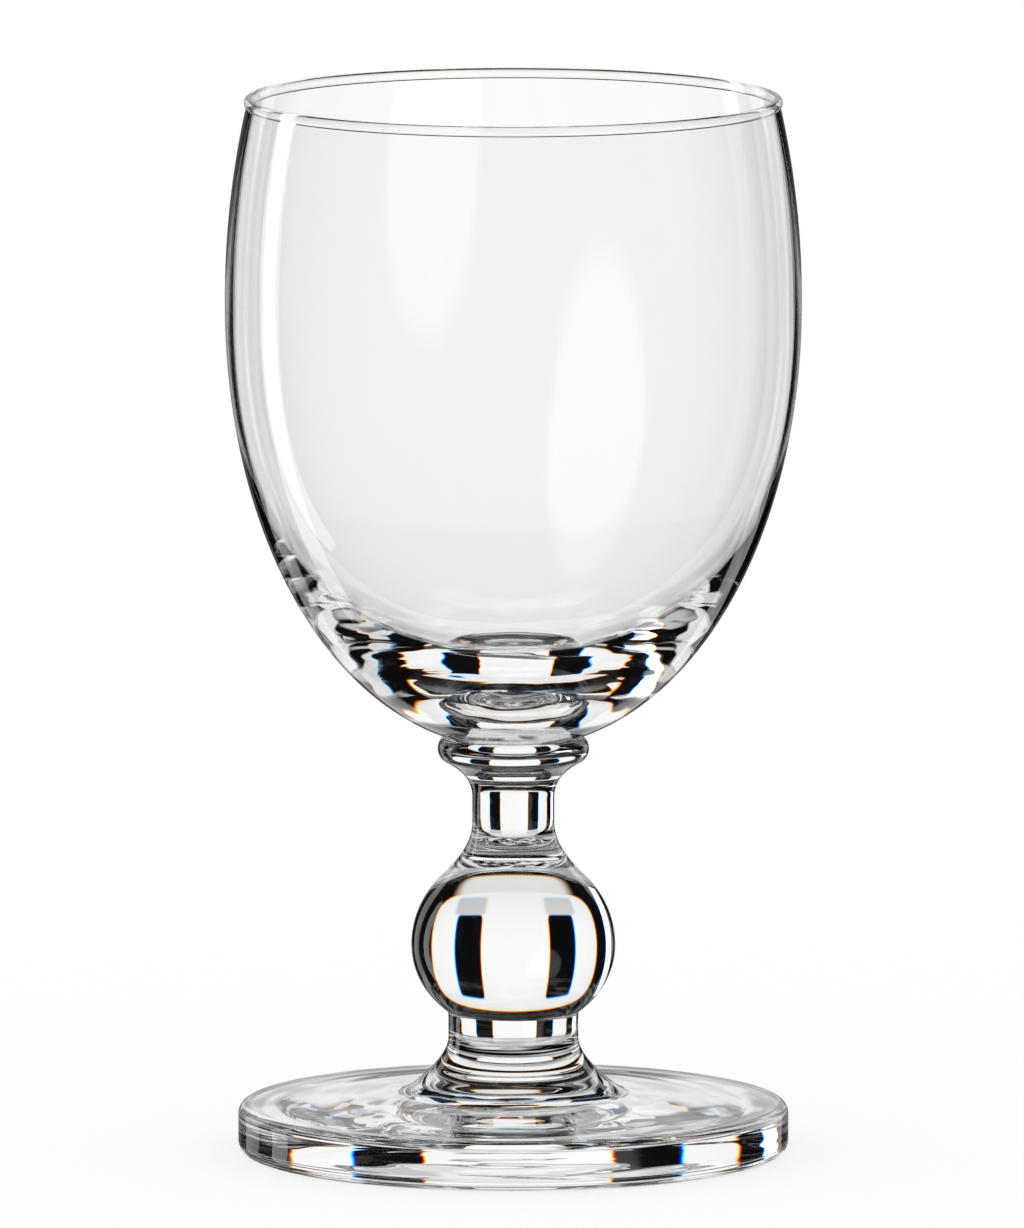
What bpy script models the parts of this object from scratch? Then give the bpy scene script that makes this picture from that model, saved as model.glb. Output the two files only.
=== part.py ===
"""Red wine glass with a ball-knop stem, as the six gathers that a goblet is put together from.

Every piece is turned about Z. Each is drawn as a half profile in its own frame, with its lower
seat at z = 0, and the pieces are then stacked from the foot upwards, fused seat on fused seat.
Units are metres. The origin is the centre of the ring that the glass stands on.
"""

from math import acos, asin, cos, pi, radians, sin, tan

import bpy

# Bowl
BOWL_RADIUS = 0.04245
BOWL_RISE = 0.0302
BOWL_DROP = 0.0660
BOWL_FULLNESS = 2.06
RIM_RADIUS = 0.0396
LIP_WIDTH = 0.0015
BOWL_WALL = 0.0013
BASE_THICKNESS = 0.0091
CAVITY_FULLNESS = 2.30

# Collar, the round ring between bowl and stem
COLLAR_RADIUS = 0.01115
COLLAR_BEAD_RADIUS = 0.0019
COLLAR_OVERHANG = 0.0011

# Neck, the drawn stem between collar and ball
NECK_RADIUS = 0.00605
NECK_COVE_HEIGHT = 0.0052
NECK_STRAIGHT = 0.0038
NECK_FLARE_HEIGHT = 0.0079

# Ball knop, a little fuller above its widest line than below it
BALL_RADIUS = 0.01505
BALL_RISE = 0.0141
BALL_DROP = 0.01275
BALL_NECK_ANGLE = radians(45.0)
BALL_SEAT_ANGLE = radians(48.6)

# Stem base, the waisted piece that flares out on to the foot
STEM_BASE_HEIGHT = 0.0106
WAIST_RADIUS = 0.00958
WAIST_DROP = 0.0013
WAIST_STRAIGHT = 0.0014
ROOT_RADIUS = 0.0146
ROOT_FLARE_RISE = 0.0051

# Foot
FOOT_RADIUS = 0.0406
FOOT_EDGE_HEIGHT = 0.0074
FOOT_RISE = 0.0015
FOOT_TOP_ROUND = 0.0016
FOOT_BOTTOM_ROUND = 0.0019
BOSS_HEIGHT = 0.0012
BOSS_FILLET = 0.0027
STANDING_RING = 0.0045
UNDERSIDE_RISE = 0.0008

# Fused seats meet with this much between the two faces
FUSE_GAP = 0.0003

# Divisions of a full turn, and of each curve of a profile
TURN_STEPS = 48
BOWL_STEPS = 14
CURVE_STEPS = 6
ROUND_STEPS = 5
MERGE_DISTANCE = 0.00001

# Sizes that follow from the ones above
COLLAR_SEAT_RADIUS = COLLAR_RADIUS - COLLAR_OVERHANG
COLLAR_SEAT_ANGLE = acos(1.0 - COLLAR_OVERHANG / COLLAR_BEAD_RADIUS)
BALL_NECK_RADIUS = BALL_RADIUS * cos(BALL_NECK_ANGLE)
BALL_SEAT_RADIUS = BALL_RADIUS * cos(BALL_SEAT_ANGLE)

GLASS_IOR = 1.52
GLASS_ROUGHNESS = 0.02
GLASS_COLOURS = {
    "foot": (0.93, 0.96, 0.96, 1.0),
    "stem_base": (0.94, 0.96, 0.96, 1.0),
    "ball_knop": (0.94, 0.96, 0.96, 1.0),
    "neck": (0.95, 0.97, 0.97, 1.0),
    "collar": (0.94, 0.96, 0.96, 1.0),
    "bowl": (0.96, 0.97, 0.97, 1.0),
}


def spread(start, end, steps):
    """Evenly spaced values from start to end, both included."""
    return [start * (1 - i / steps) + end * (i / steps) for i in range(steps + 1)]


def arc(centre, radii, start, end, steps):
    """Points of an ellipse with its two half axes in radii, from one angle to another."""
    return [
        (centre[0] + radii[0] * cos(angle), centre[1] + radii[1] * sin(angle))
        for angle in spread(start, end, steps)
    ]


def bend(start, corner, end, steps):
    """A curve that leaves start towards corner and arrives at end from corner."""
    return [
        tuple(
            (1 - t) ** 2 * a + 2 * t * (1 - t) * b + t**2 * c
            for a, b, c in zip(start, corner, end)
        )
        for t in spread(0.0, 1.0, steps)
    ]


def foot_profile():
    """A thick disc with round edges, hollowed a little underneath, and a low boss for the stem."""
    boss_top = FOOT_EDGE_HEIGHT + FOOT_RISE + BOSS_HEIGHT
    root_slope = (ROOT_RADIUS - WAIST_RADIUS) / ROOT_FLARE_RISE
    fillet_corner = (ROOT_RADIUS + root_slope * BOSS_HEIGHT, FOOT_EDGE_HEIGHT + FOOT_RISE)
    fillet_end = (ROOT_RADIUS + BOSS_FILLET, FOOT_EDGE_HEIGHT + FOOT_RISE)
    top_centre = (FOOT_RADIUS - FOOT_TOP_ROUND, FOOT_EDGE_HEIGHT - FOOT_TOP_ROUND)
    bottom_centre = (FOOT_RADIUS - FOOT_BOTTOM_ROUND, FOOT_BOTTOM_ROUND)
    hollow = bottom_centre[0] - STANDING_RING
    underside = [
        (hollow * t, UNDERSIDE_RISE * (1 - t**2)) for t in spread(1.0, 0.0, CURVE_STEPS)
    ]
    return [
        (0.0, boss_top),
        *bend((ROOT_RADIUS, boss_top), fillet_corner, fillet_end, ROUND_STEPS),
        *arc(top_centre, (FOOT_TOP_ROUND, FOOT_TOP_ROUND), pi / 2, 0.0, ROUND_STEPS),
        *arc(bottom_centre, (FOOT_BOTTOM_ROUND, FOOT_BOTTOM_ROUND), 0.0, -pi / 2, ROUND_STEPS),
        *underside,
    ]


def stem_base_profile():
    """Drawn in from the ball's seat to a straight waist, then flared out to the boss on the foot."""
    waist_top = STEM_BASE_HEIGHT - WAIST_DROP
    waist_bottom = waist_top - WAIST_STRAIGHT
    top = (BALL_SEAT_RADIUS, STEM_BASE_HEIGHT)
    shoulder = bend(top, (WAIST_RADIUS, STEM_BASE_HEIGHT), (WAIST_RADIUS, waist_top), CURVE_STEPS)
    flare = bend(
        (WAIST_RADIUS, waist_bottom), (WAIST_RADIUS, ROOT_FLARE_RISE), (ROOT_RADIUS, 0.0), CURVE_STEPS
    )
    return [(0.0, STEM_BASE_HEIGHT), *shoulder, *flare, (0.0, 0.0)]


def ball_knop_profile():
    """Two half ellipses that share their widest line, cut flat where neck and stem base join."""
    widest = (0.0, BALL_DROP * sin(BALL_SEAT_ANGLE))
    top = widest[1] + BALL_RISE * sin(BALL_NECK_ANGLE)
    upper = arc(widest, (BALL_RADIUS, BALL_RISE), BALL_NECK_ANGLE, 0.0, CURVE_STEPS)
    lower = arc(widest, (BALL_RADIUS, BALL_DROP), 0.0, -BALL_SEAT_ANGLE, CURVE_STEPS)
    return [(0.0, top), *upper, *lower[1:], (0.0, 0.0)]


def neck_profile():
    """A straight throat that runs into the collar above and into the ball below without a break."""
    straight_bottom = NECK_FLARE_HEIGHT
    straight_top = straight_bottom + NECK_STRAIGHT
    top = straight_top + NECK_COVE_HEIGHT
    cove_fall = (COLLAR_SEAT_RADIUS - NECK_RADIUS) / tan(COLLAR_SEAT_ANGLE)
    ball_slope = BALL_RISE / (BALL_RADIUS * tan(BALL_NECK_ANGLE))
    flare_rise = (BALL_NECK_RADIUS - NECK_RADIUS) * ball_slope
    cove = bend(
        (COLLAR_SEAT_RADIUS, top),
        (NECK_RADIUS, top - cove_fall),
        (NECK_RADIUS, straight_top),
        CURVE_STEPS,
    )
    flare = bend(
        (NECK_RADIUS, straight_bottom), (NECK_RADIUS, flare_rise), (BALL_NECK_RADIUS, 0.0), CURVE_STEPS
    )
    return [(0.0, top), *cove, *flare, (0.0, 0.0)]


def collar_profile():
    """A round bead between two flat seats of the same radius."""
    half_height = COLLAR_BEAD_RADIUS * sin(COLLAR_SEAT_ANGLE)
    centre = (COLLAR_RADIUS - COLLAR_BEAD_RADIUS, half_height)
    bead_radii = (COLLAR_BEAD_RADIUS, COLLAR_BEAD_RADIUS)
    bead = arc(centre, bead_radii, COLLAR_SEAT_ANGLE, -COLLAR_SEAT_ANGLE, CURVE_STEPS)
    return [(0.0, 2 * half_height), *bead, (0.0, 0.0)]


def bowl_profile():
    """An egg-shaped shell with a rounded lip and a thick base, flat where the collar joins."""
    seat_share = (COLLAR_SEAT_RADIUS / BOWL_RADIUS) ** BOWL_FULLNESS
    widest = BOWL_DROP * (1 - seat_share) ** (1 / BOWL_FULLNESS)
    seat_angle = asin(seat_share**0.5)
    rim = widest + BOWL_RISE
    lip_radius = LIP_WIDTH / 2
    lip_centre = (RIM_RADIUS - lip_radius, rim - lip_radius)
    cavity_radius = BOWL_RADIUS - BOWL_WALL
    cavity_depth = widest - BASE_THICKNESS

    def rounded(radius, depth, fullness, angle):
        """Point of a rounded bottom: 0 is its lowest point, a quarter turn its widest line."""
        power = 2 / fullness
        return radius * sin(angle) ** power, widest - depth * cos(angle) ** power

    def drawn_in(full, end, t):
        """Radius of the upper wall, an ellipse that is full at the widest line and end at the lip."""
        return full * (1 - (1 - (end / full) ** 2) * t**2) ** 0.5

    def level(t):
        return widest + (lip_centre[1] - widest) * t

    cavity = [
        rounded(cavity_radius, cavity_depth, CAVITY_FULLNESS, angle)
        for angle in spread(0.0, pi / 2, BOWL_STEPS)
    ]
    inner_upper = [
        (drawn_in(cavity_radius, RIM_RADIUS - LIP_WIDTH, t), level(t))
        for t in spread(0.0, 1.0, CURVE_STEPS)
    ]
    lip = arc(lip_centre, (lip_radius, lip_radius), pi, 0.0, CURVE_STEPS)
    outer_upper = [
        (drawn_in(BOWL_RADIUS, RIM_RADIUS, t), level(t)) for t in spread(1.0, 0.0, CURVE_STEPS)
    ]
    outer_lower = [
        rounded(BOWL_RADIUS, BOWL_DROP, BOWL_FULLNESS, angle)
        for angle in spread(pi / 2, seat_angle, BOWL_STEPS)
    ]
    return [*cavity, *inner_upper[1:], *lip[1:-1], *outer_upper, *outer_lower[1:], (0.0, 0.0)]


def glass(name):
    """Clear, polished glass for one piece."""
    material = bpy.data.materials.new(f"{name}_glass")
    material.use_nodes = True
    shader = material.node_tree.nodes["Principled BSDF"]
    shader.inputs["Base Color"].default_value = GLASS_COLOURS[name]
    shader.inputs["Roughness"].default_value = GLASS_ROUGHNESS
    shader.inputs["Metallic"].default_value = 0.0
    shader.inputs["IOR"].default_value = GLASS_IOR
    shader.inputs["Transmission Weight"].default_value = 1.0
    return material


def turned(name, profile, collection):
    """A profile that starts and ends on the axis, carried round Z as one closed body."""
    mesh = bpy.data.meshes.new(name)
    edges = [(i, i + 1) for i in range(len(profile) - 1)]
    mesh.from_pydata([(r, 0.0, z) for r, z in profile], edges, [])
    mesh.materials.append(glass(name))
    piece = bpy.data.objects.new(name, mesh)
    collection.objects.link(piece)
    screw = piece.modifiers.new("turn", "SCREW")
    screw.axis = "Z"
    screw.angle = 2 * pi
    screw.steps = TURN_STEPS
    screw.render_steps = TURN_STEPS
    screw.use_merge_vertices = True
    screw.merge_threshold = MERGE_DISTANCE
    screw.use_smooth_shade = True
    return piece


def main():
    for leftover in list(bpy.data.objects):
        bpy.data.objects.remove(leftover)
    collection = bpy.data.collections.new("red_wine_glass")
    bpy.context.scene.collection.children.link(collection)
    axis = bpy.data.objects.new("red_wine_glass_axis", None)
    collection.objects.link(axis)

    stack = [
        ("foot", foot_profile()),
        ("stem_base", stem_base_profile()),
        ("ball_knop", ball_knop_profile()),
        ("neck", neck_profile()),
        ("collar", collar_profile()),
        ("bowl", bowl_profile()),
    ]
    level = 0.0
    for name, profile in stack:
        piece = turned(name, profile, collection)
        piece.parent = axis
        piece.location.z = level
        level += max(z for _, z in profile) + FUSE_GAP
    bpy.context.view_layer.update()


main()
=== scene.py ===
"""Red wine glass with a ball-knop stem: its fine surfaces, clear glass, studio and camera.

The file is laid out as an add-on and run as a script. Each piece of the glass is a half profile
carried round the Z axis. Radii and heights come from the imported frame, in metres. The pieces meet
in the fused joints, halfway between the solids that they stand for.
"""

import bpy
import numpy as np
from bpy.props import FloatProperty, FloatVectorProperty, IntProperty, PointerProperty
from bpy.types import Operator, Panel, PropertyGroup
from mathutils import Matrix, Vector


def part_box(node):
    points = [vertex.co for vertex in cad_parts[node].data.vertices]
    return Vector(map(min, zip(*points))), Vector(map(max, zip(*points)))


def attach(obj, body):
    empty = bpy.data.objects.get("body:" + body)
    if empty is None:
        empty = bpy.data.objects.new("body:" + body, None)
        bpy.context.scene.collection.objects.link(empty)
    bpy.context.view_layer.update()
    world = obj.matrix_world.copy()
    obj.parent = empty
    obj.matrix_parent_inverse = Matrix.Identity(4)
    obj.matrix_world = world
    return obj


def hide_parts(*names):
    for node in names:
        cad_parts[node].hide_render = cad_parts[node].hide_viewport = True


bl_info = {
    "name": "Red Wine Glass",
    "version": (1, 0, 0),
    "blender": (4, 5, 0),
    "location": "View3D > Sidebar > Wine Glass",
    "description": "Builds a clear, ball-stemmed red wine glass around its packed frame",
    "category": "Add Mesh",
}

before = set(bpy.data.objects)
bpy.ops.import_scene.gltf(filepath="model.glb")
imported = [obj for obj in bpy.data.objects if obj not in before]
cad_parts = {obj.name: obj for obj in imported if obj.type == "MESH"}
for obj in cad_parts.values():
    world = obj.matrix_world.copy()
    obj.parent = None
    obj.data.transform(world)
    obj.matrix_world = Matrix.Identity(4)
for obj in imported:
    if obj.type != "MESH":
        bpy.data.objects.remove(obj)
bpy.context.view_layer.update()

IMAGE_SIZE = (1024, 1228)

# Lengths in metres: what still counts as on the axis and as one level, the radius inside which the
# rings of a finish calm down, and how much longer the waist is than in the frame
ON_AXIS = 1e-6
SAME_LEVEL = 1e-5
AXIS_CALM = 0.002
WAIST_LENGTHENED = 0.0011


# Measures of the frame


def rings(node):
    """Radius and height of every vertex of a turned node, with those on its axis left out."""
    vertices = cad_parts[node].data.vertices
    points = np.empty(len(vertices) * 3, np.float32)
    vertices.foreach_get("co", points)
    points = points.reshape(-1, 3).astype(float)
    radius = np.hypot(points[:, 0], points[:, 1])
    return np.column_stack([radius, points[:, 2]])[radius > ON_AXIS]


def widest(node):
    """Radius and height of a node's widest ring."""
    found = rings(node)
    return found[found[:, 0].argmax()]


def throat(node):
    """Radius of a node's narrowest ring, and the lowest and highest level that it has there."""
    found = rings(node)
    radius = found[:, 0].min()
    levels = found[found[:, 0] < radius + SAME_LEVEL, 1]
    return radius, levels.min(), levels.max()


def top_seat(node):
    """Radius of the flat seat on top of a node."""
    found = rings(node)
    return found[found[:, 1] > found[:, 1].max() - SAME_LEVEL, 0].max()


def joint(lower, upper):
    """Level of the fused joint of two neighbours, in the middle of the gap between them."""
    return (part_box(lower)[1].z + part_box(upper)[0].z) / 2


FOOT_JOINT = joint("foot", "stem_base")
BALL_SEAT_JOINT = joint("stem_base", "ball_knop")
BALL_NECK_JOINT = joint("ball_knop", "neck")
COLLAR_JOINT = joint("neck", "collar")
BOWL_JOINT = joint("collar", "bowl")


# Settings


def length(name, description, default):
    return FloatProperty(
        name=name,
        description=description,
        default=float(default),
        min=0.0,
        precision=5,
        unit="LENGTH",
        subtype="DISTANCE",
    )


def number(name, description, default):
    return FloatProperty(name=name, description=description, default=float(default), precision=3)


def colour(name, description, default):
    return FloatVectorProperty(
        name=name, description=description, default=default, size=3, min=0.0, max=1.0, subtype="COLOR"
    )


def angle(name, description, degrees):
    return FloatProperty(
        name=name, description=description, default=float(np.radians(degrees)), unit="ROTATION"
    )


class BowlSettings(PropertyGroup):
    radius: length("Radius", "Outside radius at the widest line", widest("bowl")[0])
    widest: length("Widest level", "Height of the widest line", widest("bowl")[1])
    rim: length("Rim level", "Height of the rim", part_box("bowl")[1].z)
    rim_radius: length("Rim radius", "Radius of the middle of the lip", top_seat("bowl"))
    lip: length("Lip", "Width of the bead on the rim", 0.0015)
    lip_height: length("Lip height", "Height of the bead on the rim", 0.0015)
    groove: length("Groove", "Depth of the groove under the bead", 0.0003)
    wall: length("Wall", "Thickness of the wall at the widest line", 0.0013)
    base: length("Base", "Glass between the hollow and the collar", 0.0084)
    fullness: number("Fullness", "Exponent of the outside curve, 2 for an ellipse", 2.06)
    hollow_fullness: number("Hollow fullness", "Exponent of the inside curve", 2.36)


class StemSettings(PropertyGroup):
    collar_radius: length("Collar radius", "Radius of the bead", widest("collar")[0])
    collar_seat: length("Collar seat", "Radius where the collar joins bowl and neck", top_seat("collar"))
    bead: length("Bead", "Radius of the collar's rounding", 0.0019)
    throat: length("Throat", "Radius of the straight part of the neck", throat("neck")[0])
    throat_low: length("Throat low", "Level where the neck flares to the ball", throat("neck")[1])
    throat_high: length("Throat high", "Level where the neck opens to the collar", throat("neck")[2])
    ball_radius: length("Ball radius", "Radius of the ball", widest("ball_knop")[0])
    ball_widest: length("Ball level", "Height of the ball's widest line", widest("ball_knop")[1])
    ball_neck: length("Ball neck", "Radius where ball and neck join", top_seat("ball_knop"))
    ball_seat: length("Ball seat", "Radius where ball and stem base join", top_seat("stem_base"))
    waist: length("Waist", "Radius of the waist under the ball", throat("stem_base")[0])
    waist_low: length(
        "Waist low", "Level where the waist flares to the foot", throat("stem_base")[1] - WAIST_LENGTHENED
    )
    waist_high: length("Waist high", "Level where the waist opens to the ball", throat("stem_base")[2])
    root_flare: length("Root flare", "Height above the foot where the stem base opens", 0.0040)


class FootSettings(PropertyGroup):
    radius: length("Radius", "Radius of the foot", widest("foot")[0])
    root: length("Root", "Radius of the boss where the stem joins", top_seat("foot"))
    edge: length("Edge", "Height of the edge", 0.0074)
    rise: length("Rise", "How far the top rises towards the boss", 0.0015)
    top_round: length("Top round", "Rounding of the upper edge", 0.0016)
    bottom_round: length("Bottom round", "Rounding of the lower edge", 0.0019)
    fillet: length("Fillet", "Width of the fillet round the boss", 0.0027)
    ring: length("Standing ring", "Width of the flat ring that it stands on", 0.0045)
    hollow: length("Hollow", "Rise of the underside inside the ring", 0.0008)


class GlassSettings(PropertyGroup):
    columns: IntProperty(name="Columns", description="Divisions of a full turn", default=480, min=24)
    index: number("Index", "Refractive index", 1.52)
    bowl_tint: colour("Bowl tint", "Colour of the bowl's glass", (0.998, 1.0, 1.0))
    stem_tint: colour("Stem tint", "Colour of the stem's glass", (0.988, 0.993, 0.993))
    foot_tint: colour("Foot tint", "Colour of the foot's glass", (0.980, 0.990, 0.988))
    bowl_ripple: length("Bowl ripple", "Depth of the rings in the base of the bowl", 0.00025)
    stem_ripple: length("Stem ripple", "Depth of the rings in stem and collar", 0.0002)
    ball_ripple: length("Ball ripple", "Depth of the waves in the ball", 0.0001)
    foot_ripple: length("Foot ripple", "Depth of the rings in the foot", 0.0003)
    rings_full: length("Rings full", "Level up to which the rings in the bowl are full", 0.066)
    rings_gone: length("Rings gone", "Level where the rings in the bowl have faded away", 0.080)


class StageSettings(PropertyGroup):
    elevation: angle("Elevation", "How far the camera looks down", 7.5)
    distance: length("Distance", "From the camera to the middle of the glass", 4.0)
    pixel: length("Pixel", "Width that one pixel of the image covers at the glass", 0.0001473)
    aim: FloatVectorProperty(
        name="Aim",
        description="Point in the middle of the image",
        default=(-0.0002, 0.0, 0.0800),
        unit="LENGTH",
    )
    floor_radius: length("Floor radius", "Radius of the floor", 1.2)
    floor_colour: colour("Floor colour", "Colour of the pale floor", (0.35, 0.35, 0.35))
    table_radius: length("Table radius", "How far out the glass shows the floor around it", 0.042)
    under_foot: number("Under foot", "How bright the light gathered under the foot is", 0.85)
    foot_shade: number("Foot shade", "How bright the table under the foot is where no light gathers", 0.5)
    sweep_radius: length("Sweep radius", "How far out the bowl shows the white floor", 0.40)
    gathered_rings: number("Gathered rings", "Rings of gathered light in a metre", 420.0)
    dispersion: number("Dispersion", "Share by which red bends less and blue more", 0.02)


SETTINGS = {
    "wine_bowl": BowlSettings,
    "wine_stem": StemSettings,
    "wine_foot": FootSettings,
    "wine_glass": GlassSettings,
    "wine_stage": StageSettings,
}


# Curves of a half profile, each an array of (radius, height) rows


def arc(centre, radii, start, end, steps):
    """Ellipse: centre plus (a cos t, b sin t), for t from start to end."""
    t = np.linspace(start, end, steps + 1)
    return np.column_stack([centre[0] + radii[0] * np.cos(t), centre[1] + radii[1] * np.sin(t)])


def bend(start, corner, end, steps):
    """Quadratic curve from start to end that leaves and arrives along the lines to corner."""
    t = np.linspace(0.0, 1.0, steps + 1)[:, None]
    return (1 - t) ** 2 * np.array(start) + 2 * t * (1 - t) * np.array(corner) + t**2 * np.array(end)


def straight(start, end):
    """Line: its two ends, with no points between them."""
    return np.array([start, end], float)


def ease(start, end, steps):
    """Half a cosine wave: it leaves start and reaches end level, without a crease at either."""
    t = np.linspace(0.0, 1.0, steps + 1)
    rise = (1 - np.cos(np.pi * t)) / 2
    return np.column_stack([start[0] + (end[0] - start[0]) * t, start[1] + (end[1] - start[1]) * rise])


def rounded_bottom(radius, top, depth, fullness, start, end, steps):
    """Superellipse: (r / radius)^n + (h / depth)^n = 1, with h down from top and n the fullness.

    r is radius times sin(t)^(2 / n) and h is depth times cos(t)^(2 / n). t is a quarter turn times
    u^(n / 2), which spaces the points evenly at the pole.
    """
    t = np.pi / 2 * np.linspace(start, end, steps + 1) ** (fullness / 2)
    across, down = np.abs(np.sin(t)) ** (2 / fullness), np.abs(np.cos(t)) ** (2 / fullness)
    return np.column_stack([radius * across, top - depth * down])


def drawn_in(full, level, end, steps):
    """Ellipse that is full and upright at level and passes through the point end above it."""
    t = np.linspace(0.0, 1.0, steps + 1)
    share = 1 - (end[0] / full) ** 2
    return np.column_stack([full * np.sqrt(1 - share * t**2), level + (end[1] - level) * t])


# Turned pieces


def run_normals(points):
    """Outward normal of each point of a run: its tangent turned a quarter turn to the left."""
    order = 2 if len(points) > 2 else 1
    tangent = np.gradient(points, axis=0, edge_order=order)
    tangent[points[:, 0] < ON_AXIS, 1] = 0.0
    normal = np.column_stack([-tangent[:, 1], tangent[:, 0]])
    return normal / np.linalg.norm(normal, axis=1, keepdims=True)


def turned(name, runs, columns):
    """Mesh of a half profile carried round Z: (r, z) at turn a goes to (r cos a, r sin a, z).

    runs is a list of (curve, material index). Each curve starts where the last one ended, the
    first and the last point lie on the axis, and the profile runs down the outer side.
    """
    curves = [curve for curve, _ in runs]
    profile = np.concatenate([curve[:-1] for curve in curves] + [curves[-1][-1:]])
    rows = len(profile) - 2
    slots = np.concatenate([np.full(len(curve) - 1, slot) for curve, slot in runs])
    normals = [run_normals(curve) for curve in curves]
    starts = np.concatenate([normal[:-1] for normal in normals])
    ends = np.concatenate([normal[1:] for normal in normals])

    turn = np.linspace(0.0, 2 * np.pi, columns, endpoint=False)
    radius = profile[1:-1, 0][:, None]
    height = np.broadcast_to(profile[1:-1, 1][:, None], (rows, columns))
    grid = np.stack([radius * np.cos(turn), radius * np.sin(turn), height], axis=-1).reshape(-1, 3)
    poles = np.array([[0.0, 0.0, profile[0, 1]], [0.0, 0.0, profile[-1, 1]]])
    first_pole = rows * columns
    last_pole = first_pole + 1

    here = np.arange(columns)
    after = np.roll(here, -1)
    row = np.arange(rows - 1)[:, None] * columns
    quads = np.stack([row + here, row + columns + here, row + columns + after, row + after], axis=-1)
    top_fan = np.stack([np.full(columns, first_pole), here, after], axis=-1)
    low = (rows - 1) * columns
    bottom_fan = np.stack([np.full(columns, last_pole), low + after, low + here], axis=-1)
    corners = np.concatenate([top_fan.ravel(), quads.ravel(), bottom_fan.ravel()])
    sizes = np.concatenate([np.full(columns, 3), np.full((rows - 1) * columns, 4), np.full(columns, 3)])

    def swept(normal, at):
        out, up = normal[..., 0], normal[..., 1]
        return np.stack([out * np.cos(at), out * np.sin(at), up + 0 * at], axis=-1)

    next_turn = turn[after]
    upper, lower = starts[1:-1, None, :], ends[1:-1, None, :]
    quad_normals = np.stack(
        [swept(upper, turn), swept(lower, turn), swept(lower, next_turn), swept(upper, next_turn)], axis=-2
    )
    top_normals = np.stack(
        [swept(starts[0], turn), swept(ends[0], turn), swept(ends[0], next_turn)], axis=-2
    )
    bottom_normals = np.stack(
        [swept(ends[-1], turn), swept(starts[-1], next_turn), swept(starts[-1], turn)], axis=-2
    )
    loop_normals = np.concatenate(
        [top_normals.reshape(-1, 3), quad_normals.reshape(-1, 3), bottom_normals.reshape(-1, 3)]
    )

    mesh = bpy.data.meshes.new(name)
    points = np.concatenate([grid, poles])
    mesh.vertices.add(len(points))
    mesh.vertices.foreach_set("co", points.astype(np.float32).ravel())
    mesh.loops.add(len(corners))
    mesh.loops.foreach_set("vertex_index", corners.astype(np.int32))
    mesh.polygons.add(len(sizes))
    mesh.polygons.foreach_set("loop_start", (np.cumsum(sizes) - sizes).astype(np.int32))
    mesh.polygons.foreach_set("material_index", np.repeat(slots, columns).astype(np.int32))
    mesh.polygons.foreach_set("use_smooth", np.ones(len(sizes), bool))
    mesh.update(calc_edges=True)
    mesh.normals_split_custom_set(loop_normals)
    return mesh


GLASS, FUSED = 0, 1


def add_piece(node, runs, material, columns):
    """Makes the turned piece that stands for a node, in its glass, with see-through joint faces."""
    mesh = turned(f"{node}_glass", runs, columns)
    mesh.materials.append(material)
    mesh.materials.append(fused_joint())
    piece = bpy.data.objects.new(f"{node}_glass", mesh)
    bpy.context.scene.collection.objects.link(piece)
    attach(piece, "root")
    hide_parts(node)


# Nodes


def add_node(tree, kind, inputs=None, **settings):
    """A node with its settings, and its inputs either set to a value or linked to a socket."""
    made = tree.nodes.new(kind)
    for name, value in settings.items():
        setattr(made, name, value)
    for name, value in (inputs or {}).items():
        if isinstance(value, bpy.types.NodeSocket):
            tree.links.new(value, made.inputs[name])
        else:
            made.inputs[name].default_value = value
    return made


def maths(tree, operation, *values):
    made = add_node(tree, "ShaderNodeMath", dict(enumerate(values)), operation=operation)
    return made.outputs[0]


def new_group(name, inputs, outputs):
    """An empty shader group with float inputs and the given outputs, and its two end nodes."""
    tree = bpy.data.node_groups.new(name, "ShaderNodeTree")
    for label in inputs:
        tree.interface.new_socket(label, in_out="INPUT", socket_type="NodeSocketFloat")
    for label, kind in outputs.items():
        tree.interface.new_socket(label, in_out="OUTPUT", socket_type=kind)
    return tree, tree.nodes.new("NodeGroupInput").outputs, tree.nodes.new("NodeGroupOutput")


def place_group(tree, group, inputs):
    return add_node(tree, "ShaderNodeGroup", inputs, node_tree=group).outputs


# Glass


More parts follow.
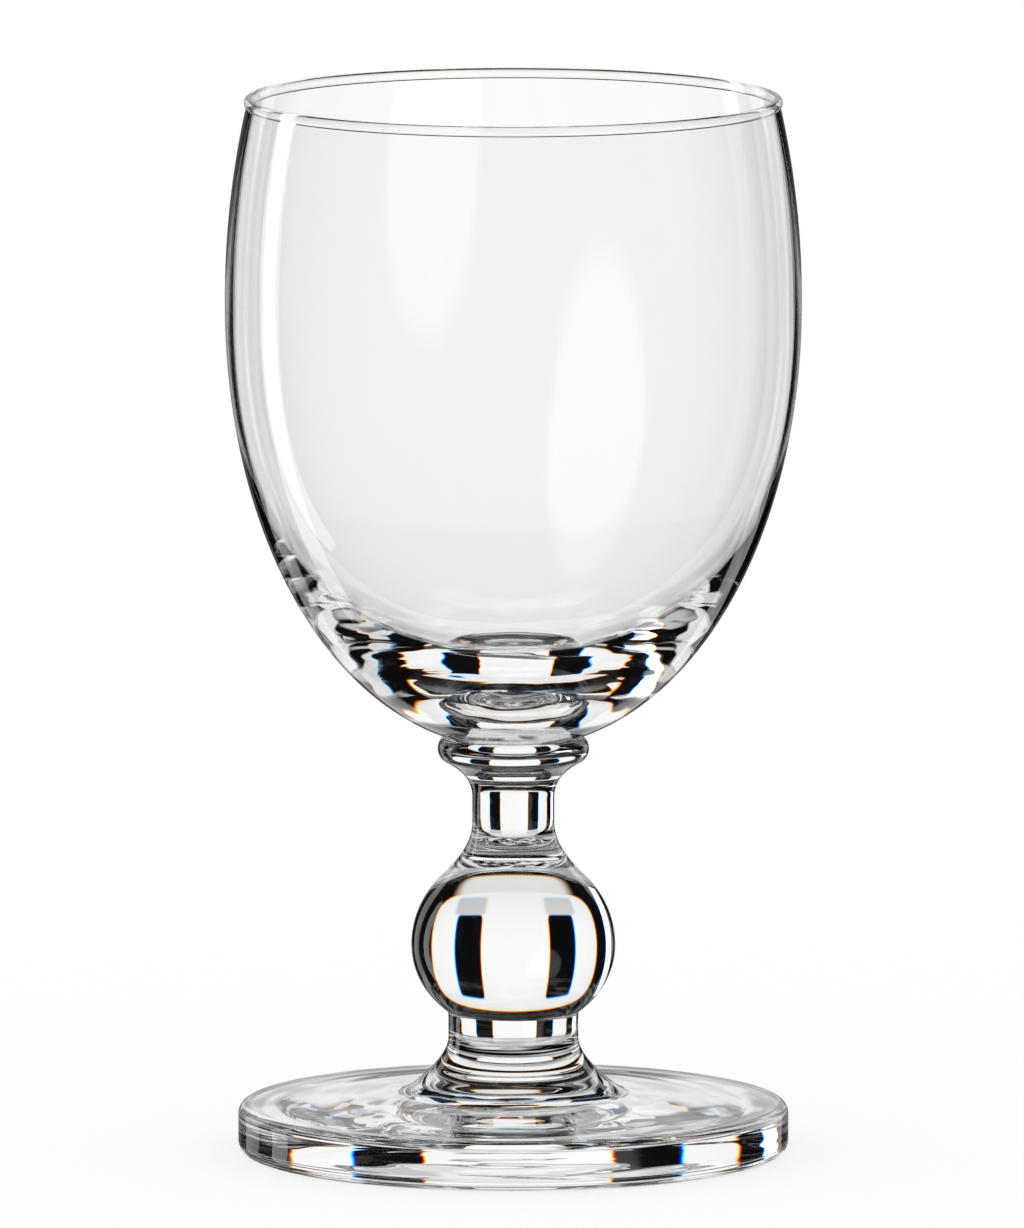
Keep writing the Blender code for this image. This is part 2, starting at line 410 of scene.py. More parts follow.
def fire_polish():
    """Group for what tools and flame leave on turned glass: faint rings, and a trace of haze.

    The rings are noise over radius and height, in which the direction round the axis changes
    little, so they run nearly all round. They fade away between two levels.
    """
    if "Fire polish" in bpy.data.node_groups:
        return bpy.data.node_groups["Fire polish"]
    tree, given, result = new_group(
        "Fire polish",
        ["Rings", "Turn", "Fade from", "Fade to", "Dull", "Haze"],
        {"Height": "NodeSocketFloat", "Roughness": "NodeSocketFloat"},
    )
    place = tree.nodes.new("ShaderNodeTexCoord").outputs["Object"]
    axes = add_node(tree, "ShaderNodeSeparateXYZ", {0: place}).outputs
    squares = [maths(tree, "MULTIPLY", axes[name], axes[name]) for name in ("X", "Y")]
    radius = maths(tree, "SQRT", maths(tree, "ADD", *squares))
    reach = maths(tree, "ADD", radius, AXIS_CALM)
    sides = [maths(tree, "MULTIPLY", axes[name], given["Turn"]) for name in ("X", "Y")]
    turn = [maths(tree, "DIVIDE", side, reach) for side in sides]
    across, up = [maths(tree, "MULTIPLY", value, given["Rings"]) for value in (radius, axes["Z"])]
    where = add_node(tree, "ShaderNodeCombineXYZ", {"X": across, "Y": up, "Z": turn[0]}).outputs[0]
    rings = add_node(
        tree,
        "ShaderNodeTexNoise",
        {"Vector": where, "W": turn[1], "Scale": 1.0, "Detail": 0.0, "Roughness": 0.5},
        noise_dimensions="4D",
    )
    left = add_node(
        tree,
        "ShaderNodeMapRange",
        {
            "Value": axes["Z"],
            "From Min": given["Fade from"],
            "From Max": given["Fade to"],
            "To Min": 1.0,
            "To Max": 0.0,
        },
        interpolation_type="SMOOTHSTEP",
    )
    smears = add_node(
        tree, "ShaderNodeTexNoise", {"Vector": place, "Scale": 90.0, "Detail": 4.0, "Roughness": 0.6}
    )
    clean = add_node(
        tree,
        "ShaderNodeMapRange",
        {
            "Value": smears.outputs[0],
            "From Min": 0.55,
            "From Max": 0.8,
            "To Min": given["Dull"],
            "To Max": given["Haze"],
        },
    )
    tree.links.new(maths(tree, "MULTIPLY", rings.outputs[0], left.outputs[0]), result.inputs["Height"])
    tree.links.new(clean.outputs[0], result.inputs["Roughness"])
    return tree


def clear_glass(name, tint, index, ripple, polish):
    """Colourless glass: a smooth refracting surface with the rings and haze of its fire polish."""
    if name in bpy.data.materials:
        return bpy.data.materials[name]
    material = bpy.data.materials.new(name)
    material.use_nodes = True
    tree = material.node_tree
    shader = tree.nodes["Principled BSDF"]
    shader.inputs["Base Color"].default_value = (*tint, 1.0)
    shader.inputs["Metallic"].default_value = 0.0
    shader.inputs["IOR"].default_value = index
    shader.inputs["Transmission Weight"].default_value = 1.0
    marks = place_group(tree, fire_polish(), polish)
    waves = {"Height": marks["Height"], "Distance": ripple, "Strength": 1.0}
    bump = add_node(tree, "ShaderNodeBump", waves)
    tree.links.new(bump.outputs[0], shader.inputs["Normal"])
    tree.links.new(marks["Roughness"], shader.inputs["Roughness"])
    return material


def fused_joint():
    """Nothing at all: inside a fused joint the glass runs on, so its two faces don't show."""
    if "fused_joint" in bpy.data.materials:
        return bpy.data.materials["fused_joint"]
    material = bpy.data.materials.new("fused_joint")
    material.use_nodes = True
    material.node_tree.nodes["Principled BSDF"].inputs["Alpha"].default_value = 0.0
    return material


# Levels far above the glass, for rings that don't fade
UNFADED = {"Fade from": 1.0, "Fade to": 2.0}


def bowl_glass(glass):
    faded = {"Fade from": glass.rings_full, "Fade to": glass.rings_gone}
    polish = {"Rings": 230.0, "Turn": 1.2, **faded, "Dull": 0.0, "Haze": 0.0}
    return clear_glass("bowl_clear", glass.bowl_tint, glass.index, glass.bowl_ripple, polish)


def stem_glass(glass):
    polish = {"Rings": 320.0, "Turn": 0.6, **UNFADED, "Dull": 0.007, "Haze": 0.012}
    return clear_glass("stem_clear", glass.stem_tint, glass.index, glass.stem_ripple, polish)


def ball_glass(glass):
    polish = {"Rings": 150.0, "Turn": 1.5, **UNFADED, "Dull": 0.007, "Haze": 0.012}
    return clear_glass("ball_clear", glass.stem_tint, glass.index, glass.ball_ripple, polish)


def foot_glass(glass):
    polish = {"Rings": 190.0, "Turn": 1.2, **UNFADED, "Dull": 0.007, "Haze": 0.015}
    return clear_glass("foot_clear", glass.foot_tint, glass.index, glass.foot_ripple, polish)


# Pieces


def bead_shape(stem):
    """Half the height of the collar's bead, and the angle on its rounding at which its seats cut it.

    The seats lie the overhang inside the bead, so the cosine of the angle is 1 - overhang / bead.
    """
    overhang = stem.collar_radius - stem.collar_seat
    return (BOWL_JOINT - COLLAR_JOINT) / 2, np.arccos(1 - overhang / stem.bead)


def ball_top(stem):
    """Angle on the ball's upper half ellipse at which the neck cuts it, and the height of that half."""
    neck_angle = np.arccos(stem.ball_neck / stem.ball_radius)
    return neck_angle, (BALL_NECK_JOINT - stem.ball_widest) / np.sin(neck_angle)


class WINEGLASS_OT_foot(Operator):
    """Press the foot: a thick disc with round edges, a boss for the stem and a hollow underside"""

    bl_idname = "wineglass.foot"
    bl_label = "Foot"

    def execute(self, context):
        foot, stem, glass = context.scene.wine_foot, context.scene.wine_stem, context.scene.wine_glass
        top = foot.edge + foot.rise
        # The fillet starts along the slope in which the stem base ends
        slope = (foot.root - stem.waist) / stem.root_flare
        corner = (foot.root + slope * (FOOT_JOINT - top), top)
        fillet = bend((foot.root, FOOT_JOINT), corner, (foot.root + foot.fillet, top), steps=20)
        shoulder = (foot.radius - foot.top_round, foot.edge)
        heel = (foot.radius - foot.bottom_round, 0.0)
        ring = (heel[0] - foot.ring, 0.0)
        upper_centre = (shoulder[0], foot.edge - foot.top_round)
        lower_centre = (heel[0], foot.bottom_round)
        upper = arc(upper_centre, (foot.top_round, foot.top_round), np.pi / 2, 0.0, steps=16)
        lower = arc(lower_centre, (foot.bottom_round, foot.bottom_round), 0.0, -np.pi / 2, steps=16)
        runs = [
            (straight((0.0, FOOT_JOINT), fillet[0]), FUSED),
            (fillet, GLASS),
            (ease(fillet[-1], shoulder, steps=40), GLASS),
            (upper, GLASS),
            (straight(upper[-1], lower[0]), GLASS),
            (lower, GLASS),
            (straight(lower[-1], ring), GLASS),
            (ease(ring, (0.0, foot.hollow), steps=32), GLASS),
        ]
        add_piece("foot", runs, foot_glass(glass), glass.columns)
        return {"FINISHED"}


class WINEGLASS_OT_stem_base(Operator):
    """Draw the stem base: a waist under the ball that flares out on to the boss of the foot"""

    bl_idname = "wineglass.stem_base"
    bl_label = "Stem base"

    def execute(self, context):
        foot, stem, glass = context.scene.wine_foot, context.scene.wine_stem, context.scene.wine_glass
        high, low = (stem.waist, stem.waist_high), (stem.waist, stem.waist_low)
        top = (stem.ball_seat, BALL_SEAT_JOINT)
        root = (foot.root, FOOT_JOINT)
        runs = [
            (straight((0.0, BALL_SEAT_JOINT), top), FUSED),
            (bend(top, (stem.waist, BALL_SEAT_JOINT), high, steps=20), GLASS),
            (straight(high, low), GLASS),
            (bend(low, (stem.waist, FOOT_JOINT + stem.root_flare), root, steps=32), GLASS),
            (straight(root, (0.0, FOOT_JOINT)), FUSED),
        ]
        add_piece("stem_base", runs, stem_glass(glass), glass.columns)
        return {"FINISHED"}


class WINEGLASS_OT_ball_knop(Operator):
    """Round the ball knop: two half ellipses that share the widest line"""

    bl_idname = "wineglass.ball_knop"
    bl_label = "Ball knop"

    def execute(self, context):
        stem, glass = context.scene.wine_stem, context.scene.wine_glass
        centre = (0.0, stem.ball_widest)
        neck_angle, rise = ball_top(stem)
        seat_angle = np.arccos(stem.ball_seat / stem.ball_radius)
        drop = (stem.ball_widest - BALL_SEAT_JOINT) / np.sin(seat_angle)
        upper = arc(centre, (stem.ball_radius, rise), neck_angle, 0.0, steps=44)
        lower = arc(centre, (stem.ball_radius, drop), 0.0, -seat_angle, steps=44)
        runs = [
            (straight((0.0, BALL_NECK_JOINT), upper[0]), FUSED),
            (upper, GLASS),
            (lower, GLASS),
            (straight(lower[-1], (0.0, BALL_SEAT_JOINT)), FUSED),
        ]
        add_piece("ball_knop", runs, ball_glass(glass), glass.columns)
        return {"FINISHED"}


class WINEGLASS_OT_neck(Operator):
    """Draw the neck: a straight throat that opens to the collar above and the ball below"""

    bl_idname = "wineglass.neck"
    bl_label = "Neck"

    def execute(self, context):
        stem, glass = context.scene.wine_stem, context.scene.wine_glass
        # The neck leaves the collar and the ball along their own slopes, so that neither joint creases
        bead_half, bead_angle = bead_shape(stem)
        bead_slope = stem.bead * np.sin(bead_angle) ** 2 / (bead_half * np.cos(bead_angle))
        fall = (stem.collar_seat - stem.throat) / bead_slope
        neck_angle, ball_rise = ball_top(stem)
        ball_slope = ball_rise / (stem.ball_radius * np.tan(neck_angle))
        lift = (stem.ball_neck - stem.throat) * ball_slope
        top = (stem.collar_seat, COLLAR_JOINT)
        high, low = (stem.throat, stem.throat_high), (stem.throat, stem.throat_low)
        bottom = (stem.ball_neck, BALL_NECK_JOINT)
        runs = [
            (straight((0.0, COLLAR_JOINT), top), FUSED),
            (bend(top, (stem.throat, COLLAR_JOINT - fall), high, steps=32), GLASS),
            (straight(high, low), GLASS),
            (bend(low, (stem.throat, BALL_NECK_JOINT + lift), bottom, steps=32), GLASS),
            (straight(bottom, (0.0, BALL_NECK_JOINT)), FUSED),
        ]
        add_piece("neck", runs, stem_glass(glass), glass.columns)
        return {"FINISHED"}


class WINEGLASS_OT_collar(Operator):
    """Roll the collar: a round bead between the neck and the bowl"""

    bl_idname = "wineglass.collar"
    bl_label = "Collar"

    def execute(self, context):
        stem, glass = context.scene.wine_stem, context.scene.wine_glass
        half, seat_angle = bead_shape(stem)
        centre = (stem.collar_radius - stem.bead, COLLAR_JOINT + half)
        radii = (stem.bead, half / np.sin(seat_angle))
        bead = arc(centre, radii, seat_angle, -seat_angle, steps=40)
        runs = [
            (straight((0.0, BOWL_JOINT), bead[0]), FUSED),
            (bead, GLASS),
            (straight(bead[-1], (0.0, COLLAR_JOINT)), FUSED),
        ]
        add_piece("collar", runs, stem_glass(glass), glass.columns)
        return {"FINISHED"}


class WINEGLASS_OT_bowl(Operator):
    """Blow the bowl: an egg with a thick base, a hollow inside it and a rounded lip"""

    bl_idname = "wineglass.bowl"
    bl_label = "Bowl"

    def execute(self, context):
        bowl, stem, glass = context.scene.wine_bowl, context.scene.wine_stem, context.scene.wine_glass
        # The outside is a rounded bottom that the collar's seat cuts off above its pole
        seat_share = (stem.collar_seat / bowl.radius) ** bowl.fullness
        drop = (bowl.widest - BOWL_JOINT) / (1 - seat_share) ** (1 / bowl.fullness)
        seat = (np.arcsin(np.sqrt(seat_share)) * 2 / np.pi) ** (2 / bowl.fullness)
        hollow_radius = bowl.radius - bowl.wall
        hollow_depth = bowl.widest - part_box("bowl")[0].z - bowl.base

        # The bead of the lip curls on past its widest on both sides, down into the groove
        lip = bowl.lip / 2
        neck = np.arccos(1 - bowl.groove / lip)
        lip_rise = bowl.lip_height / (1 + np.sin(neck))
        lip_centre = (bowl.rim_radius, bowl.rim - lip_rise)
        lip_curve = arc(lip_centre, (lip, lip_rise), np.pi + neck, -neck, steps=28)
        hollow = rounded_bottom(
            hollow_radius, bowl.widest, hollow_depth, bowl.hollow_fullness, 0.0, 1.0, steps=62
        )
        outside = rounded_bottom(bowl.radius, bowl.widest, drop, bowl.fullness, 1.0, seat, steps=80)
        runs = [
            (hollow, GLASS),
            (drawn_in(hollow_radius, bowl.widest, lip_curve[0], steps=16), GLASS),
            (lip_curve, GLASS),
            (drawn_in(bowl.radius, bowl.widest, lip_curve[-1], steps=16)[::-1], GLASS),
            (outside, GLASS),
            (straight(outside[-1], (0.0, BOWL_JOINT)), FUSED),
        ]
        add_piece("bowl", runs, bowl_glass(glass), glass.columns)
        return {"FINISHED"}


# Stage

# Each light of the studio as the glass sees it: azimuth from straight behind the glass (right is
# positive) and elevation of its middle, half its width and half its height, all in degrees, then
# how square it is (2 is round), how soft its edge is as a share of its size, its strength, and
# the share of it that is lost towards its top and bottom.
#
# STUDIO_LIGHTS show in all the glass. STRIP_LIGHTS lose the share STRIP_LOST_FAR in what the far
# wall of the bowl mirrors. SIDE_LIGHTS show only where light has turned many times inside thick
# glass, as in the base of the bowl. STEM_WINDOWS and BOWL_WINDOWS show straight through the stem or
# the bowl. The two are told apart by their finish: the bowl is perfectly smooth and the stem is
# faintly dull. BLACK_FLAGS hold the light back for all the glass, and MIRROR_FLAGS only in what
# outer faces and the bowl's wall mirror. ROOM_LIGHT is what is left in the dark.
STUDIO_LIGHTS = {
    "backdrop": (-0.8, -1.5, 43.8, 29.5, 5.0, 0.02, 1.05, 0.15),
    "table": (0.0, -35.0, 31.0, 7.0, 6.0, 0.15, 0.8, 0.0),
    "overhead": (0.0, 60.0, 45.0, 6.0, 6.0, 0.15, 0.9, 0.0),
    "front_softbox": (144.0, -24.0, 21.0, 26.0, 2.2, 0.12, 1.0, 0.0),
}
STRIP_LIGHTS = {
    "left_strip": (-63.5, -6.0, 6.0, 34.0, 8.0, 0.02, 1.8, 0.0),
}
SIDE_LIGHTS = {
    "left_side": (-96.5, 8.0, 9.0, 24.0, 6.0, 0.15, 1.0, 0.0),
    "right_side": (96.5, 8.0, 9.0, 24.0, 6.0, 0.15, 1.0, 0.0),
    "left_glint": (-74.0, 5.0, 14.0, 5.5, 2.0, 0.4, 0.6, 0.0),
    "right_glint": (74.0, 5.0, 14.0, 5.5, 2.0, 0.4, 0.6, 0.0),
    "left_far": (-110.0, 14.0, 8.0, 8.0, 2.0, 0.3, 0.8, 0.0),
    "right_far": (110.0, 14.0, 8.0, 8.0, 2.0, 0.3, 0.8, 0.0),
    "right_strip": (66.5, -6.0, 6.5, 34.0, 8.0, 0.05, 0.8, 0.0),
}
STEM_WINDOWS = {
    "side_slit": (-92.0, -6.0, 8.0, 36.0, 4.0, 0.1, 0.9, 0.0),
}
BOWL_WINDOWS = {
    "side_window": (-90.0, -6.0, 18.0, 36.0, 4.0, 0.1, 0.95, 0.0),
}
BLACK_FLAGS = {
    "left_flag": (-21.3, 0.5, 6.6, 20.0, 14.0, 0.04, 1.0, 0.0),
    "right_flag": (19.4, 0.5, 6.4, 20.0, 14.0, 0.04, 1.0, 0.0),
    "left_shade": (-22.0, -23.8, 8.0, 4.3, 8.0, 0.15, 0.3, 0.0),
    "right_shade": (20.0, -23.8, 8.0, 4.3, 8.0, 0.15, 0.35, 0.0),
}
MIRROR_FLAGS = {
    "edge_flag": (0.0, -9.0, 16.0, 11.0, 8.0, 0.2, 0.9, 0.0),
    "wall_flag": (0.0, -9.0, 50.0, 11.0, 8.0, 0.05, 0.3, 0.0),
    "foot_flag": (0.0, 9.0, 40.0, 7.0, 8.0, 0.2, 0.3, 0.0),
}
ROOM_LIGHT = 0.004
STRIP_LOST_FAR = 0.8

# The lights that show only in part, by the name of the input that gives their share
LIGHT_SHARES = {
    "Turned inside": SIDE_LIGHTS,
    "Through stem": STEM_WINDOWS,
    "Through bowl": BOWL_WINDOWS,
    "Strip share": STRIP_LIGHTS,
}

# Limits on the counts that a light path keeps of its turns and of the faces it has gone through.
# They lie halfway between two whole numbers.
HALF_COUNT = 0.5
MANY_TURNS = 3.5
ONE_WALL = 2.5

# How often light may turn or pass a face on its way through the glass
TURNS_FOLLOWED = 32

# The white floor behind the bowl, to the left: its direction and how narrow it is, as a cosine
LEFT_BACK = (-0.7071, 0.7071, 0.0)
LEFT_BACK_COSINE = 0.97
FLOOR_CORNERS = 96


def light_shape():
    """Group that lights one softbox: where (across / width)^p + (up / height)^p is under 1."""
    names = ["Azimuth", "Elevation", "Middle azimuth", "Middle elevation"]
    names += ["Half width", "Half height", "Squareness", "Softness", "Strength", "Fade"]
    tree, given, result = new_group("Light shape", names, {"Light": "NodeSocketFloat"})
    aside = maths(tree, "SUBTRACT", given["Azimuth"], given["Middle azimuth"])
    around = maths(tree, "ABSOLUTE", maths(tree, "WRAP", aside, 180.0, -180.0))
    across = maths(tree, "DIVIDE", around, given["Half width"])
    above = maths(tree, "SUBTRACT", given["Elevation"], given["Middle elevation"])
    up = maths(tree, "DIVIDE", maths(tree, "ABSOLUTE", above), given["Half height"])
    parts = [maths(tree, "POWER", part, given["Squareness"]) for part in (across, up)]
    root = maths(tree, "DIVIDE", 1.0, given["Squareness"])
    reach = maths(tree, "POWER", maths(tree, "ADD", *parts), root)
    lost = maths(tree, "MULTIPLY", maths(tree, "MULTIPLY", up, up), given["Fade"])
    edge = add_node(
        tree,
        "ShaderNodeMapRange",
        {
            "Value": reach,
            "From Min": maths(tree, "SUBTRACT", 1.0, given["Softness"]),
            "From Max": maths(tree, "ADD", 1.0, given["Softness"]),
            "To Min": maths(tree, "MULTIPLY", given["Strength"], maths(tree, "SUBTRACT", 1.0, lost)),
            "To Max": 0.0,
        },
        interpolation_type="SMOOTHSTEP",
    )
    tree.links.new(edge.outputs[0], result.inputs["Light"])
    return tree


def brightest(tree, given, lights, light):
    """The brightest of some lights, and of the light there is already, in the given direction."""
    shape = bpy.data.node_groups.get("Light shape") or light_shape()
    labels = ["Middle azimuth", "Middle elevation", "Half width", "Half height"]
    labels += ["Squareness", "Softness", "Strength", "Fade"]
    direction = {label: given[label] for label in ("Azimuth", "Elevation")}
    for values in lights.values():
        shown = place_group(tree, shape, direction | dict(zip(labels, values)))[0]
        light = maths(tree, "MAXIMUM", shown, light)
    return light


def studio_lights():
    """Group that gives the light from a direction: the brightest there, unless a flag is in the way.

    Its other inputs are the shares in which the lights and flags of each table show.
    """
    names = ["Azimuth", "Elevation", *LIGHT_SHARES, "Mirrored"]
    tree, given, result = new_group("Studio lights", names, {"Light": "NodeSocketFloat"})
    light = 0.0
    for label, lights in LIGHT_SHARES.items():
        shown = maths(tree, "MULTIPLY", brightest(tree, given, lights, 0.0), given[label])
        light = maths(tree, "MAXIMUM", shown, light)
    light = brightest(tree, given, STUDIO_LIGHTS, light)
    mirrored = maths(tree, "MULTIPLY", brightest(tree, given, MIRROR_FLAGS, 0.0), given["Mirrored"])
    passed = maths(tree, "SUBTRACT", 1.0, brightest(tree, given, BLACK_FLAGS, mirrored))
    total = maths(tree, "MAXIMUM", maths(tree, "MULTIPLY", light, passed), ROOM_LIGHT)
    tree.links.new(total, result.inputs["Light"])
    return tree


def light_studio(stage):
    """A plain white surround, in which glass sees the studio's panels and the dark between them."""
    world = bpy.data.worlds.new("studio")
    bpy.context.scene.world = world
    world.use_nodes = True
    world.cycles.sampling_method = "NONE"
    tree = world.node_tree
    direction = tree.nodes.new("ShaderNodeTexCoord").outputs["Generated"]
    axes = add_node(tree, "ShaderNodeSeparateXYZ", {0: direction}).outputs
    azimuth = maths(tree, "DEGREES", maths(tree, "ARCTAN2", axes["X"], axes["Y"]))
    elevation = maths(tree, "DEGREES", maths(tree, "ARCSINE", axes["Z"]))
    path = tree.nodes.new("ShaderNodeLightPath").outputs
    refracted = maths(tree, "LESS_THAN", path["Glossy Depth"], HALF_COUNT)
    straight_on = maths(tree, "MULTIPLY", refracted, path["Is Transmission Ray"])
    through_bowl = maths(tree, "MULTIPLY", straight_on, path["Is Singular Ray"])
    turned_once = maths(tree, "COMPARE", path["Glossy Depth"], 1.0, HALF_COUNT)
    off_the_wall = maths(tree, "MULTIPLY", turned_once, path["Is Singular Ray"])
    mirrored = maths(tree, "MAXIMUM", off_the_wall, path["Is Reflection Ray"])
    far_wall = maths(tree, "GREATER_THAN", path["Transmission Depth"], ONE_WALL)
    off_far_wall = maths(tree, "MULTIPLY", mirrored, far_wall)
    shares = {
        "Turned inside": maths(tree, "GREATER_THAN", path["Glossy Depth"], MANY_TURNS),
        "Through stem": maths(tree, "SUBTRACT", straight_on, through_bowl),
        "Through bowl": through_bowl,
        "Strip share": maths(tree, "MULTIPLY_ADD", off_far_wall, -STRIP_LOST_FAR, 1.0),
        "Mirrored": mirrored,
    }
    spread = maths(tree, "MULTIPLY", maths(tree, "SUBTRACT", 1.0, mirrored), stage.dispersion)
    behind = maths(tree, "MULTIPLY", maths(tree, "MAXIMUM", axes["Y"], 0.0), spread)
    spread_across = maths(tree, "MULTIPLY", azimuth, behind)
    from_level = maths(tree, "ADD", elevation, float(np.degrees(stage.elevation)))
    spread_up = maths(tree, "MULTIPLY", from_level, behind)
    studio = studio_lights()
    channels = {}
    for label, bending in {"Red": -1.0, "Green": 0.0, "Blue": 1.0}.items():
        inputs = {
            "Azimuth": maths(tree, "MULTIPLY_ADD", spread_across, bending, azimuth),
            "Elevation": maths(tree, "MULTIPLY_ADD", spread_up, bending, elevation),
            **shares,
        }
        channels[label] = place_group(tree, studio, inputs)[0]
    in_glass = add_node(tree, "ShaderNodeCombineColor", channels).outputs[0]
    lighting = maths(tree, "GREATER_THAN", path["Diffuse Depth"], HALF_COUNT)
    seen_by_matt = maths(tree, "MAXIMUM", path["Is Camera Ray"], lighting)
    white = (1.0, 1.0, 1.0, 1.0)
    shown = add_node(tree, "ShaderNodeMix", {0: seen_by_matt, 6: in_glass, 7: white}, data_type="RGBA")
    background = tree.nodes["Background"]
    background.inputs["Strength"].default_value = 1.0
    tree.links.new(shown.outputs[2], background.inputs["Color"])


def gathered_light(stage):
    """Group for the light that the glass gathers under its foot.

    It is the sum of a fine and a coarse noise, both drawn out to rings and rays.
    """
    tree, _, result = new_group("Gathered light", [], {"Light": "NodeSocketFloat"})
    place = tree.nodes.new("ShaderNodeTexCoord").outputs["Object"]
    axes = add_node(tree, "ShaderNodeSeparateXYZ", {0: place}).outputs
    away = add_node(tree, "ShaderNodeVectorMath", {0: place}, operation="LENGTH").outputs["Value"]
    reach = maths(tree, "ADD", away, AXIS_CALM)
    turn = [maths(tree, "DIVIDE", axes[name], reach) for name in ("X", "Y")]
    layers = []
    for rings, rays in ((stage.gathered_rings, 1.5), (stage.gathered_rings / 4, 3.5)):
        inputs = {"X": maths(tree, "MULTIPLY", away, rings)}
        inputs["Y"], inputs["Z"] = [maths(tree, "MULTIPLY", value, rays) for value in turn]
        where = add_node(tree, "ShaderNodeCombineXYZ", inputs).outputs[0]
        noise = add_node(tree, "ShaderNodeTexNoise", {"Vector": where, "Scale": 1.0, "Detail": 1.0})
        layers.append(noise.outputs[0])
    bright = add_node(
        tree,
        "ShaderNodeMapRange",
        {"Value": maths(tree, "ADD", *layers), "From Min": 0.85, "From Max": 1.25},
        interpolation_type="SMOOTHSTEP",
    )
    tree.links.new(bright.outputs[0], result.inputs["Light"])
    return tree


def floor_finish(stage):
    """Matt pale floor, topped up to white.

    Glass shows the light gathered on it as far as the table reaches, and beyond that only the
    bowl shows it, where it is behind both walls or to the left at the back.
    """
    material = bpy.data.materials.new("pale_floor")
    material.use_nodes = True
    tree = material.node_tree
    tree.nodes.clear()
    matt = add_node(tree, "ShaderNodeBsdfDiffuse", {"Color": (*stage.floor_colour, 1.0)})
    white = [1.0 - channel for channel in stage.floor_colour]
    glow = add_node(tree, "ShaderNodeEmission", {"Color": (*white, 1.0)})
    floor = add_node(tree, "ShaderNodeAddShader", {0: matt.outputs[0], 1: glow.outputs[0]})
    nothing = tree.nodes.new("ShaderNodeBsdfTransparent")
    place = tree.nodes.new("ShaderNodeTexCoord").outputs["Object"]
    away = add_node(tree, "ShaderNodeVectorMath", {0: place}, operation="LENGTH").outputs["Value"]
    beyond = maths(tree, "GREATER_THAN", away, stage.table_radius)
    path = tree.nodes.new("ShaderNodeLightPath").outputs
    through_glass = maths(tree, "MAXIMUM", path["Is Glossy Ray"], path["Is Transmission Ray"])
    refracted = maths(tree, "LESS_THAN", path["Glossy Depth"], HALF_COUNT)
    gathered = place_group(tree, gathered_light(stage), {})[0]
    pale = maths(tree, "MULTIPLY_ADD", gathered, 1.0 - stage.foot_shade, stage.foot_shade)
    dark = maths(tree, "MULTIPLY", gathered, stage.under_foot)
    under_foot = add_node(tree, "ShaderNodeMix", {0: refracted, 2: dark, 3: pale}).outputs[0]
    shaded = add_node(tree, "ShaderNodeEmission", {"Color": under_foot})
    both_walls = maths(tree, "GREATER_THAN", path["Transmission Depth"], ONE_WALL)
    near = maths(tree, "LESS_THAN", away, stage.sweep_radius)
    side = add_node(tree, "ShaderNodeVectorMath", {0: place, 1: LEFT_BACK}, operation="DOT_PRODUCT")
    cosine = maths(tree, "DIVIDE", side.outputs["Value"], away)
    aside = maths(tree, "GREATER_THAN", cosine, LEFT_BACK_COSINE)
    behind = maths(tree, "MULTIPLY", maths(tree, "MAXIMUM", both_walls, aside), near)
    through_bowl = maths(tree, "MULTIPLY", refracted, path["Is Singular Ray"])
    seen = maths(tree, "MULTIPLY", behind, through_bowl)
    sweep = tree.nodes.new("ShaderNodeEmission")
    around = add_node(tree, "ShaderNodeMixShader", {0: seen, 1: nothing.outputs[0], 2: sweep.outputs[0]})
    zones = {0: beyond, 1: shaded.outputs[0], 2: around.outputs[0]}
    in_glass = add_node(tree, "ShaderNodeMixShader", zones)
    sights = {0: through_glass, 1: floor.outputs[0], 2: in_glass.outputs[0]}
    shown = add_node(tree, "ShaderNodeMixShader", sights)
    output = tree.nodes.new("ShaderNodeOutputMaterial")
    tree.links.new(shown.outputs[0], output.inputs["Surface"])
    return material


def lay_floor(stage):
    """A flat disc at the level that the glass stands on: points at (R cos a, R sin a, 0)."""
    turn = np.linspace(0.0, 2 * np.pi, FLOOR_CORNERS, endpoint=False)
    points = np.column_stack([np.cos(turn), np.sin(turn), np.zeros_like(turn)]) * stage.floor_radius
    mesh = bpy.data.meshes.new("floor")
    mesh.from_pydata(points.tolist(), [], [list(range(len(points)))])
    mesh.materials.append(floor_finish(stage))
    floor = bpy.data.objects.new("floor", mesh)
    bpy.context.scene.collection.objects.link(floor)


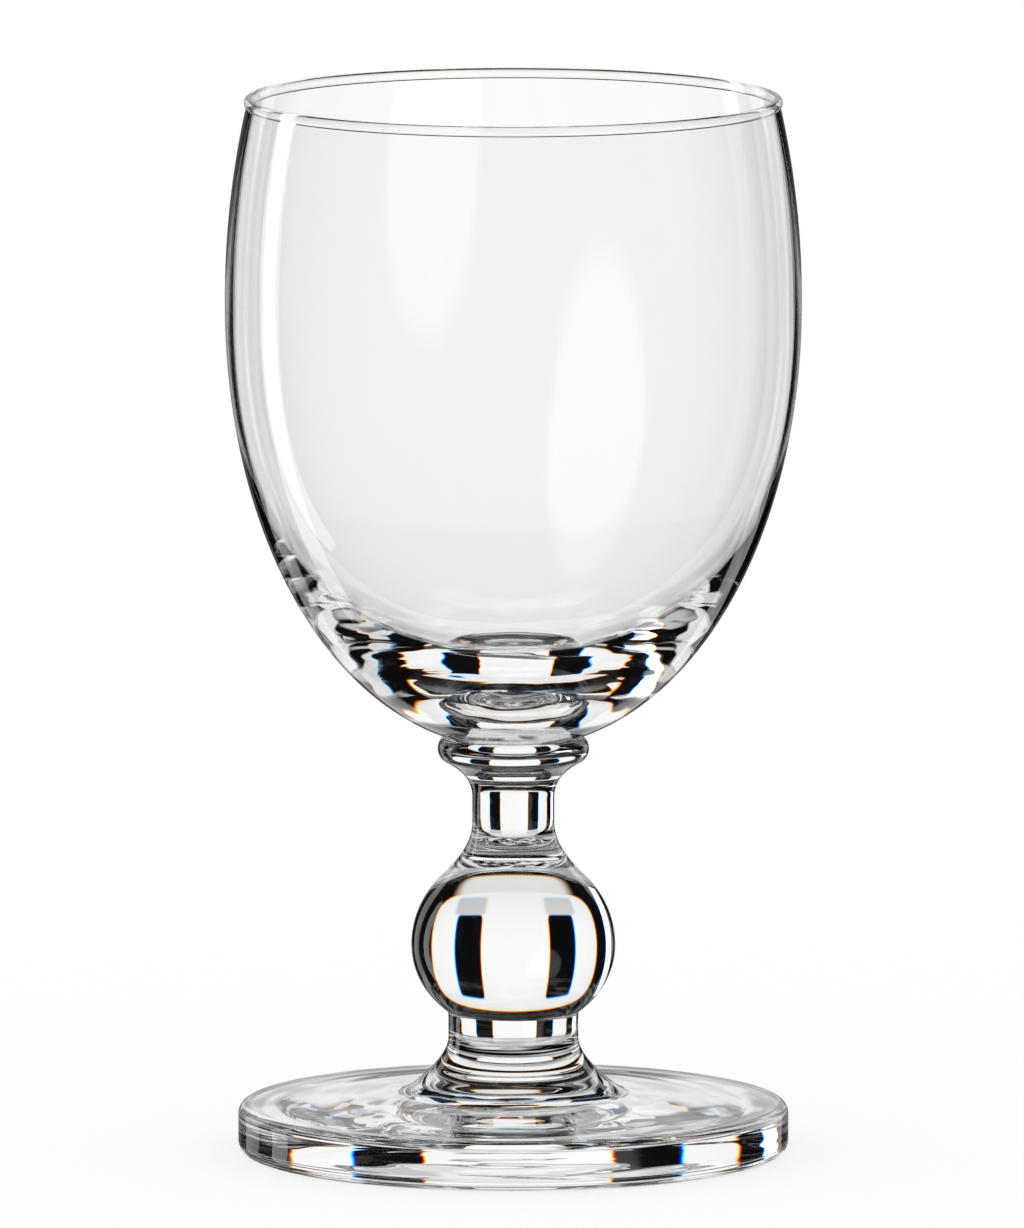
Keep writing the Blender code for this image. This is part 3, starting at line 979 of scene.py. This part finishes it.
def place_camera(stage):
    """A long lens in front of the glass, so far away that its upright lines stay parallel."""
    lens = bpy.data.cameras.new("camera")
    lens.sensor_fit = "AUTO"
    lens.sensor_width = 36.0
    lens.lens = lens.sensor_width * stage.distance / (stage.pixel * max(IMAGE_SIZE))
    lens.clip_end = 20.0
    camera = bpy.data.objects.new("camera", lens)
    back = Vector((0.0, -np.cos(stage.elevation), np.sin(stage.elevation)))
    camera.location = Vector(stage.aim) + back * stage.distance
    camera.rotation_mode = "QUATERNION"
    camera.rotation_quaternion = (-back).to_track_quat("-Z", "Y")
    bpy.context.scene.collection.objects.link(camera)
    bpy.context.scene.camera = camera


class WINEGLASS_OT_stage(Operator):
    """Set the stage: a pale floor, the studio's light and the camera"""

    bl_idname = "wineglass.stage"
    bl_label = "Stage"

    def execute(self, context):
        stage, scene = context.scene.wine_stage, context.scene
        lay_floor(stage)
        light_studio(stage)
        place_camera(stage)
        scene.view_settings.view_transform = "Standard"
        scene.cycles.max_bounces = TURNS_FOLLOWED
        scene.cycles.glossy_bounces = TURNS_FOLLOWED
        scene.cycles.transmission_bounces = TURNS_FOLLOWED
        scene.cycles.transparent_max_bounces = 2 * TURNS_FOLLOWED
        return {"FINISHED"}


class WINEGLASS_PT_panel(Panel):
    """Lists the pieces of the glass and the settings behind them"""

    bl_label = "Wine Glass"
    bl_idname = "WINEGLASS_PT_panel"
    bl_space_type = "VIEW_3D"
    bl_region_type = "UI"
    bl_category = "Wine Glass"

    def draw(self, context):
        for operator in OPERATORS:
            self.layout.operator(operator.bl_idname)
        for name, settings in SETTINGS.items():
            box = self.layout.box()
            for label in settings.__annotations__:
                box.prop(getattr(context.scene, name), label)


OPERATORS = [
    WINEGLASS_OT_foot,
    WINEGLASS_OT_stem_base,
    WINEGLASS_OT_ball_knop,
    WINEGLASS_OT_neck,
    WINEGLASS_OT_collar,
    WINEGLASS_OT_bowl,
    WINEGLASS_OT_stage,
]
CLASSES = [*SETTINGS.values(), *OPERATORS, WINEGLASS_PT_panel]


def register():
    for made in CLASSES:
        bpy.utils.register_class(made)
    for name, settings in SETTINGS.items():
        setattr(bpy.types.Scene, name, PointerProperty(type=settings))


def unregister():
    for name in SETTINGS:
        delattr(bpy.types.Scene, name)
    for made in reversed(CLASSES):
        bpy.utils.unregister_class(made)


def main():
    register()
    bpy.ops.wineglass.foot()
    bpy.ops.wineglass.stem_base()
    bpy.ops.wineglass.ball_knop()
    bpy.ops.wineglass.neck()
    bpy.ops.wineglass.collar()
    bpy.ops.wineglass.bowl()
    bpy.ops.wineglass.stage()


if __name__ == "__main__":
    main()
